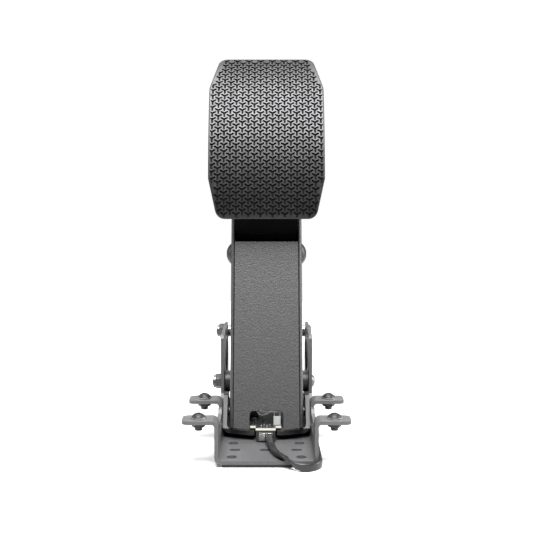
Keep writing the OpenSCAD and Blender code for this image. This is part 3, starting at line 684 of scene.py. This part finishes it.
def hank_tie():
    """A ribbed strap round the hank with its locking head, which stands for a node."""
    low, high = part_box("hank_tie")
    bm = bmesh.new()
    thick = 0.9 * MM
    y0, y1 = between(low.y, high.y, 0.2), between(low.y, high.y, 0.8)
    rounded_block(bm, (low.x, y0, low.z), (low.x + thick, y1, high.z), 0.2 * MM)
    rounded_block(bm, (high.x - thick, y0, low.z), (high.x, y1, high.z), 0.2 * MM)
    rounded_block(bm, (low.x, y0, high.z - thick), (high.x, y1, high.z), 0.2 * MM)
    ribs = 30
    for k in range(ribs):
        x = between(low.x + 4 * MM, high.x - 4 * MM, k / (ribs - 1))
        rounded_block(bm, (x - 0.45 * MM, y0 + 0.7 * MM, high.z - 0.2 * MM),
                      (x + 0.45 * MM, y1 - 0.7 * MM, high.z + 0.12 * MM), 0.08 * MM, 1)
    rounded_block(bm, (-13 * MM, low.y, high.z - 0.3 * MM),
                  (-6.5 * MM, high.y, high.z + 2.2 * MM), 0.5 * MM)
    tie = mesh_object("hank_strap", bm, [black_moulding()])
    return place(tie, "base", ["hank_tie"])


# ------------------------------------------------------------------ foot plate


def arc_at(x, rise):
    """A point of the plate's flat layout from its width and its height on the chord."""
    return x, PLATE_RADIUS * (math.asin(rise / PLATE_RADIUS) + PLATE_MID)


def chord_rise(s):
    """The height on the chord of a point at s along the plate's arc."""
    return PLATE_RADIUS * math.sin(s / PLATE_RADIUS - PLATE_MID)


def plate_outline():
    """The plate's edge, laid flat, from its lower right corner up and round."""
    low, high = chord_rise(0) + PLATE_CORNER, chord_rise(PLATE_ARC) - PLATE_CORNER
    side_low, side_high = PLATE_SIDE_LOW, PLATE_SIDE_HIGH
    corners = [
        (PLATE_BOTTOM_HALF, low, PLATE_CORNER, -90, -12, 10),
        (side_low[0], chord_rise(side_low[1]), PLATE_SIDE_CORNER, -12, 2, 3),
        (side_high[0], chord_rise(side_high[1]), PLATE_SIDE_CORNER, 2, 22, 3),
        (PLATE_TOP_HALF, high, PLATE_CORNER, 22, 90, 10),
    ]
    half = []
    for x, rise, r, start, end, steps in corners:
        for k in range(steps + 1):
            a = math.radians(between(start, end, k / steps))
            half.append((x + r * math.cos(a), rise + r * math.sin(a)))
    loop = half + [(-x, rise) for x, rise in reversed(half)]
    dense = []
    for a, b in zip(loop, loop[1:] + loop[:1]):
        steps = max(1, round(math.dist(a, b) / OUTLINE_STEP))
        for k in range(steps):
            t = k / steps
            dense.append(arc_at(between(a[0], b[0], t), between(a[1], b[1], t)))
    return dense


def edge_distance(point, loop):
    """How far inside a convex loop a point lies."""
    nearest = 1e9
    for a, b in zip(loop, loop[1:] + loop[:1]):
        along = (b[0] - a[0], b[1] - a[1])
        size = math.hypot(*along)
        if size > 1e-6:
            across = (along[0] * (point[1] - a[1]) - along[1] * (point[0] - a[0])) / size
            nearest = min(nearest, across)
    return nearest


def heading(angle):
    """The flat direction at an angle in degrees."""
    a = math.radians(angle)
    return Vector((math.cos(a), math.sin(a), 0))


def groove_mesh():
    """One three-armed groove: chamfered lip, wall and floor."""
    size = sizes()
    lip = GROOVE_LIP
    half = size.groove_width / 2 + lip
    bm = bmesh.new()
    rim = []
    for arm in (30, 150, 270):
        ahead, across = heading(arm), heading(arm + 90)
        for turn in (-90, -45, 0, 45, 90):
            t = math.radians(turn)
            reach = size.groove_arm + half * math.cos(t)
            rim.append(ahead * reach + across * half * math.sin(t))
        rim.append(heading(arm + 60) * half / math.cos(math.radians(30)))
    face = bm.faces.new([bm.verts.new(p) for p in rim])
    bmesh.ops.inset_region(bm, faces=[face], thickness=lip, depth=-lip, use_even_offset=True)
    wall = bmesh.ops.extrude_face_region(bm, geom=[face])
    floor = [v for v in wall["geom"] if isinstance(v, bmesh.types.BMVert)]
    bmesh.ops.translate(bm, verts=floor, vec=(0, 0, lip - size.groove_depth))
    if face.is_valid:
        bmesh.ops.delete(bm, geom=[face], context="FACES_ONLY")
    for side in bm.faces:
        # Walls and floor below the surface take the second finish, the groove's near-black
        # painted shade.
        side.material_index = 0 if max(v.co.z for v in side.verts) > BELOW_SURFACE else 1
    mesh = bpy.data.meshes.new("groove")
    bm.to_mesh(mesh)
    bm.free()
    return mesh


def relief_mesh(outline):
    """All the grooves in one flat mesh, with those at the plate's rim cut short."""
    groove = groove_mesh()
    bm = bmesh.new()
    for x, s in groove_centres(outline):
        before = len(bm.verts)
        bm.from_mesh(groove)
        bm.verts.ensure_lookup_table()
        own = bm.verts[before:]
        bmesh.ops.translate(bm, verts=own, vec=(x, s, 0))
        for vert in own:
            gap = GROOVE_FLOOR_GAP if vert.co.z < BELOW_SURFACE else GROOVE_LIP_GAP
            while edge_distance(vert.co, outline) < gap:
                vert.co.x = between(x, vert.co.x, GROOVE_SHRINK)
                vert.co.y = between(s, vert.co.y, GROOVE_SHRINK)
    bpy.data.meshes.remove(groove)
    relief = bpy.data.meshes.new("relief")
    bm.to_mesh(relief)
    bm.free()
    return relief


def groove_centres(outline):
    """The lattice of grooves that fits inside the rim."""
    size = sizes()
    centres = []
    rows = int(PLATE_ARC / size.groove_row) + 1
    for row in range(-2, rows + 2):
        s = PLATE_ARC / 2 + (row - rows // 2) * size.groove_row
        shift = size.groove_pitch / 2 if row % 2 else 0
        for column in range(-6, 7):
            x = column * size.groove_pitch + shift
            if edge_distance((x, s), outline) > GROOVE_CENTRE_GAP:
                centres.append((x, s))
    return centres


def bent(point):
    """Bends a point of the flat layout round the plate's axis."""
    x, s, height = point
    radius = PLATE_RADIUS + height
    angle = s / PLATE_RADIUS
    return Vector((
        x * MM,
        (PLATE_AXIS_Y - radius * math.cos(angle)) * MM,
        (PLATE_AXIS_Z + radius * math.sin(angle)) * MM,
    ))


def back_grid(outline):
    """Points across the plate's back, so that its fill follows the bend."""
    points = [(x, s) for x in range(-36, 37, 12) for s in range(2, int(PLATE_ARC), 4)]
    return [p for p in points if edge_distance(p, outline) > 2]


def closed_loops(edges):
    """Closed rims as ordered lists of vertices, anticlockwise, the longest first."""
    joined = {}
    for edge in edges:
        for vert in edge.verts:
            joined.setdefault(vert, []).append(edge)
    loops = []
    seen = set()
    for start in joined:
        if start in seen:
            continue
        loop, vert, edge = [], start, joined[start][0]
        while vert not in seen:
            seen.add(vert)
            loop.append(vert)
            vert = edge.other_vert(vert)
            edge = next(e for e in joined[vert] if e is not edge)
        area = sum(a.co.x * b.co.y - b.co.x * a.co.y for a, b in zip(loop, loop[1:] + loop[:1]))
        loops.append(loop if area > 0 else loop[::-1])
    return sorted(loops, key=len, reverse=True)


def fill_around_holes(bm, rims, height, extra):
    """Fills the flat region between the outer rim and the rims inside it."""
    loops = closed_loops(rims)
    verts = [v for loop in loops for v in loop]
    index = {v: i for i, v in enumerate(verts)}
    outlines = [[index[v] for v in loop] for loop in loops]
    verts += [bm.verts.new((x, s, height)) for x, s in extra]
    made = delaunay_2d_cdt([v.co.xy for v in verts], [], outlines, 1, 1e-5)
    source = [ids[0] for ids in made[3]]
    for triangle, inside in zip(made[2], made[5]):
        if len(inside) == 1:
            bm.faces.new([verts[source[k]] for k in triangle])


class PEDAL_OT_foot_plate(bpy.types.Operator):
    """Curved foot plate with its lattice of three-armed grooves."""

    bl_idname = "pedal.foot_plate"
    bl_label = "Foot plate"

    def execute(self, context):
        outline = plate_outline()
        bm = bmesh.new()
        face = bm.faces.new([bm.verts.new((x, s, 0)) for x, s in outline])
        back = bmesh.ops.extrude_face_region(bm, geom=[face])
        back_verts = [v for v in back["geom"] if isinstance(v, bmesh.types.BMVert)]
        bmesh.ops.translate(bm, verts=back_verts, vec=(0, 0, -PLATE_THICKNESS))
        bmesh.ops.recalc_face_normals(bm, faces=bm.faces)
        rims = [e for e in bm.edges if abs(e.verts[0].co.z - e.verts[1].co.z) < 1e-6]
        bmesh.ops.bevel(
            bm, geom=rims, offset=PLATE_EDGE_ROUND, offset_type="OFFSET", segments=4,
            profile=0.5, affect="EDGES", clamp_overlap=False, material=-1,
        )
        broad = [f for f in bm.faces if len(f.verts) > 50]
        bmesh.ops.delete(bm, geom=broad, context="FACES_ONLY")
        relief = relief_mesh(outline)
        bm.from_mesh(relief)
        rims = [e for e in bm.edges if e.is_boundary]
        front_rims = [e for e in rims if e.verts[0].co.z > BELOW_SURFACE]
        back_rims = [e for e in rims if e.verts[0].co.z < -PLATE_THICKNESS / 2]
        fill_around_holes(bm, front_rims, 0.0, [])
        fill_around_holes(bm, back_rims, -PLATE_THICKNESS, back_grid(outline))
        for vert in bm.verts:
            vert.co = bent(vert.co)
        bmesh.ops.recalc_face_normals(bm, faces=bm.faces)
        # The second finish is the painted shade in the grooves.
        plate = mesh_object("foot_plate_relief", bm, [plate_coat(), recess_painted_shade()], sharp=24)
        even_shading(plate)
        place(plate, "arm", ["foot_plate"])
        bpy.data.meshes.remove(relief)
        return {"FINISHED"}


# ------------------------------------------------------------------ sheet metal


def seamed_arm(width):
    """The arm, with a narrow recessed seam down each side of its front face, painted near-black
    as painted shade.
    """
    bm = merged_copy("arm_channel")
    # The softened edges take the third finish, edge wear with painted highlight.
    break_edges(bm, width, 2)
    lean = math.radians(ARM_LEAN)
    front = Vector((0, -math.cos(lean), math.sin(lean)))
    for side in (-1, 1):
        inner, outer = side * SEAM_X * MM, side * (SEAM_X + SEAM_WIDTH) * MM
        for x in (inner, outer):
            bmesh.ops.bisect_plane(
                bm, geom=bm.verts[:] + bm.edges[:] + bm.faces[:], dist=1e-6,
                plane_co=(x, 0, 0), plane_no=(1, 0, 0),
            )
        low, high = sorted((inner, outer))
        strip = [
            f for f in bm.faces
            if f.normal.dot(front) > 0.95 and low < f.calc_center_median().x < high
        ]
        cut = bmesh.ops.extrude_face_region(bm, geom=strip)
        moved = [v for v in cut["geom"] if isinstance(v, bmesh.types.BMVert)]
        bmesh.ops.translate(bm, verts=moved, vec=-front * SEAM_DEPTH * MM)
        bmesh.ops.delete(bm, geom=[f for f in strip if f.is_valid], context="FACES_ONLY")
        # The seam's walls and floor get the near-black painted shade.
        for vert in moved:
            for face in vert.link_faces:
                face.material_index = 1
    arm = mesh_object("arm_channel_fine", bm, [arm_coat(), recess_painted_shade(), edge_wear_and_highlight()])
    even_shading(arm)
    return place(arm, "arm", ["arm_channel"])


class PEDAL_OT_sheet_metal(bpy.types.Operator):
    """Folded base, arm, cradle and plate bracket with softened cut edges."""

    bl_idname = "pedal.sheet_metal"
    bl_label = "Sheet metal"

    def execute(self, context):
        width = sizes().edge_break
        # Softened edges of base, arm and cradle take the lighter edge finish, partly wear and
        # partly painted highlight.
        softened("base_bracket", [base_coat(), edge_wear_and_highlight()], width)
        seamed_arm(width)
        softened("cradle", [black_coat(), edge_wear_and_highlight()], width)
        bracket = softened("plate_bracket", [bracket_painted_shade(), black_coat()], width)
        # Painted shade: faces turned to the front get the near-black finish, the rest get the
        # black coat.
        for face in bracket.data.polygons:
            face.material_index = 0 if face.normal.y < -0.3 and face.area > 1e-5 else 1
        softened("base_pad", [rubber()], 0.25 * MM)
        softened("rest_bumpers", [rubber()], 0.3 * MM)
        return {"FINISHED"}


# ------------------------------------------------------------------ fasteners


class PEDAL_OT_fasteners(bpy.types.Operator):
    """Bolts, nuts, screws, washers, rivets and spacers."""

    bl_idname = "pedal.fasteners"
    bl_label = "Fasteners"

    def execute(self, context):
        for node in ("pivot_bolt", "pivot_nut", "anchor_bolt", "anchor_nut", "side_nuts"):
            softened(node, [dark_zinc()], 0.22 * MM)
        for node in ("anchor_spacers", "ear_washers", "board_screws", "plate_screws",
                     "holder_screws", "board_spacers"):
            softened(node, [zinc_plate()], 0.15 * MM)
        softened("ear_nuts", [black_oxide()], 0.22 * MM)
        for node in ("side_screws", "ear_screws"):
            softened(node, [black_oxide()], 0.22 * MM)
        softened("cradle_rivets", [zinc_plate()], 0.4 * MM, 3)
        for node in ("pivot_sleeve", "arm_pin"):
            softened(node, [turned_steel()], 0.25 * MM)
        softened("pivot_bushes", [black_moulding()], 0.25 * MM)
        return {"FINISHED"}


# ------------------------------------------------------------------ push rod and spring


class PEDAL_OT_push_rod(bpy.types.Operator):
    """Push rod, guide cup, bump rubber and coiled return spring."""

    bl_idname = "pedal.push_rod"
    bl_label = "Push rod"

    def execute(self, context):
        softened("push_rod", [turned_steel()], 0.3 * MM)
        softened("guide_cup", [turned_steel()], 0.3 * MM)
        softened("bump_rubber", [red_rubber()], 0.4 * MM, 3)
        spring = return_spring()
        place(spring, "guide", ["return_spring"])
        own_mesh(spring)
        return {"FINISHED"}


def return_spring():
    """A coiled wire with closed ends, wound round the push rod line."""
    wire = sizes().spring_wire
    coils = sizes().spring_coils
    radius = SPRING_OUTER_RADIUS - wire / 2
    start, end = SPRING_START + wire / 2, SPRING_END - wire / 2
    closed = wire * CLOSED_COIL
    pitch = (end - start - 2 * closed) / coils
    bm = bmesh.new()
    bmesh.ops.create_circle(bm, cap_ends=True, radius=wire / 2, segments=14)
    upright = Matrix.Rotation(math.pi / 2, 3, "X")
    bmesh.ops.rotate(bm, verts=bm.verts, cent=(0, 0, 0), matrix=upright)
    bmesh.ops.translate(bm, verts=bm.verts, vec=(radius, 0, start))
    ring = bm.faces[:]
    for turns, rise in ((1, closed), (coils, pitch), (1, closed)):
        made = bmesh.ops.spin(
            bm, geom=ring, cent=(0, 0, 0), axis=(0, 0, 1), dvec=(0, 0, rise / SPRING_STEPS),
            angle=math.tau * turns, steps=SPRING_STEPS * turns, use_merge=False,
            use_duplicate=False,
        )
        ring = [g for g in made["geom_last"] if isinstance(g, bmesh.types.BMFace)]
    bmesh.ops.remove_doubles(bm, verts=bm.verts, dist=1e-6)
    bmesh.ops.recalc_face_normals(bm, faces=bm.faces)
    turn = ROD_DIRECTION.to_track_quat("Z", "Y").to_matrix().to_4x4()
    bmesh.ops.transform(bm, matrix=Matrix.Translation(ROD_PIN) @ turn, verts=bm.verts)
    return mesh_object("coiled_return_spring", bm, [spring_coat()], sharp=60)


# ------------------------------------------------------------------ electronics


def board(node, parts):
    """A circuit board with bare core on its cut edges, and its small parts."""
    bm = merged_copy(node)
    low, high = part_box(node)
    flat_axis = min(range(3), key=lambda k: high[k] - low[k])
    for face in bm.faces:
        face.material_index = 0 if abs(face.normal[flat_axis]) > 0.7 else 1
    for start, end, radius, material in parts:
        rounded_block(bm, start, end, radius, 2, material)
    obj = mesh_object(f"{node}_fine", bm,
                      [solder_mask(), board_core(), black_moulding(), tinned()], sharp=30)
    return place(obj, body_of_node[node], [node])


def board_parts(top):
    """Four small chips and the four soldered pins on the socket board."""
    foot = top - 0.02 * MM
    parts = []
    for x, y in ((-8.5, -30), (-8.5, -26.5), (-4.2, -24), (0.5, -25.5)):
        parts.append(((x * MM, y * MM, foot),
                      ((x + 2) * MM, (y + 1.2) * MM, top + 0.55 * MM), 0.1 * MM, 2))
    for k in range(4):
        x = (-3.7 + 2.04 * k) * MM
        y = (-36.5 + (k % 2) * 2.5) * MM
        half = 0.5 * MM
        parts.append(((x - half, y - half, foot),
                      (x + half, y + half, top + 0.9 * MM), 0.3 * MM, 3))
    return parts


class PEDAL_OT_electronics(bpy.types.Operator):
    """Socket board, modular socket, header, leads, angle sensor and magnet."""

    bl_idname = "pedal.electronics"
    bl_label = "Electronics"

    def execute(self, context):
        board("socket_board", board_parts(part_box("socket_board")[1].z))
        softened("sensor_board", [solder_mask()], 0.05 * MM)
        softened("sensor_chip", [black_moulding()], 0.1 * MM)
        softened("modular_socket", [black_moulding()], 0.2 * MM)
        softened("wire_header", [white_moulding()], 0.2 * MM)
        softened("sensor_wires", [pale_lead()], 0.0001 * MM, 1, 80)
        softened("sensor_holder", [black_moulding()], 0.25 * MM)
        softened("magnet_holder", [black_moulding()], 0.25 * MM)
        softened("magnet", [tinned()], 0.2 * MM)
        return {"FINISHED"}


# ------------------------------------------------------------------ stage


def area_light(name, place_at, size, power):
    """A soft rectangular light aimed at the pedal."""
    lamp = bpy.data.lights.new(name, "AREA")
    lamp.shape = "RECTANGLE"
    lamp.size, lamp.size_y = size
    lamp.energy = power
    obj = bpy.data.objects.new(name, lamp)
    obj.location = place_at
    towards = Vector(LIGHT_AIM) - Vector(place_at)
    obj.rotation_euler = towards.to_track_quat("-Z", "Y").to_euler()
    bpy.context.scene.collection.objects.link(obj)


def level_camera(scene):
    """The scene's camera, in front of the pedal and looking slightly down."""
    camera_data = bpy.data.cameras.new("camera")
    camera_data.lens = CAMERA_LENS
    camera_data.sensor_width = SENSOR_WIDTH
    camera_data.clip_start = 0.01
    camera = bpy.data.objects.new("camera", camera_data)
    camera.location = CAMERA_PLACE
    camera.rotation_euler = (math.radians(90 - CAMERA_TILT), 0, 0)
    scene.collection.objects.link(camera)
    scene.camera = camera


def pale_floor():
    """The plain floor that the pedal stands on."""
    coat = finish_once("pale_floor", (0.62, 0.62, 0.62), 0.9,
                       mottle=(3, 0.01), grain=(40, 0.02, 0.05))
    bm = bmesh.new()
    bmesh.ops.create_grid(bm, x_segments=2, y_segments=2, size=FLOOR_HALF)
    mesh_object("floor", bm, [coat])


def studio_world():
    """A white backdrop that lights the pedal only faintly."""
    world = bpy.data.worlds.new("studio")
    world.use_nodes = True
    tree = world.node_tree
    seen = tree.nodes.new("ShaderNodeLightPath")
    level = tree.nodes.new("ShaderNodeMapRange")
    level.inputs["To Min"].default_value = SOFT_FILL
    level.inputs["To Max"].default_value = 1.0
    tree.links.new(seen.outputs["Is Camera Ray"], level.inputs["Value"])
    tree.nodes["Background"].inputs["Color"].default_value = (1, 1, 1, 1)
    tree.links.new(level.outputs["Result"], tree.nodes["Background"].inputs["Strength"])
    return world


class PEDAL_OT_stage(bpy.types.Operator):
    """Camera, plain pale floor and soft studio light."""

    bl_idname = "pedal.stage"
    bl_label = "Stage"

    def execute(self, context):
        level_camera(context.scene)
        context.scene.view_settings.view_transform = "Standard"
        pale_floor()
        context.scene.world = studio_world()
        for light in LIGHTS:
            area_light(*light)
        return {"FINISHED"}


# ------------------------------------------------------------------ panel


class PEDAL_PT_sidebar(bpy.types.Panel):
    """Sizes, colours and steps of the racing pedal."""

    bl_idname = "PEDAL_PT_sidebar"
    bl_label = "Racing pedal"
    bl_space_type = "VIEW_3D"
    bl_region_type = "UI"
    bl_category = "Pedal"

    def draw(self, context):
        layout = self.layout
        for group in (context.scene.pedal_sizes, context.scene.pedal_colours):
            for name in group.__annotations__:
                layout.prop(group, name)
        for operator in OPERATORS:
            layout.operator(operator.bl_idname)


OPERATORS = (
    PEDAL_OT_stage, PEDAL_OT_cable, PEDAL_OT_foot_plate, PEDAL_OT_sheet_metal,
    PEDAL_OT_fasteners, PEDAL_OT_push_rod, PEDAL_OT_electronics,
)
CLASSES = (PedalSizes, PedalColours, *OPERATORS, PEDAL_PT_sidebar)


def register():
    for cls in CLASSES:
        bpy.utils.register_class(cls)
    bpy.types.Scene.pedal_sizes = PointerProperty(type=PedalSizes)
    bpy.types.Scene.pedal_colours = PointerProperty(type=PedalColours)


def unregister():
    del bpy.types.Scene.pedal_colours
    del bpy.types.Scene.pedal_sizes
    for cls in reversed(CLASSES):
        bpy.utils.unregister_class(cls)


def main():
    register()
    bpy.ops.pedal.stage()
    bpy.ops.pedal.cable()
    bpy.ops.pedal.foot_plate()
    bpy.ops.pedal.sheet_metal()
    bpy.ops.pedal.fasteners()
    bpy.ops.pedal.push_rod()
    bpy.ops.pedal.electronics()


if __name__ == "__main__":
    main()
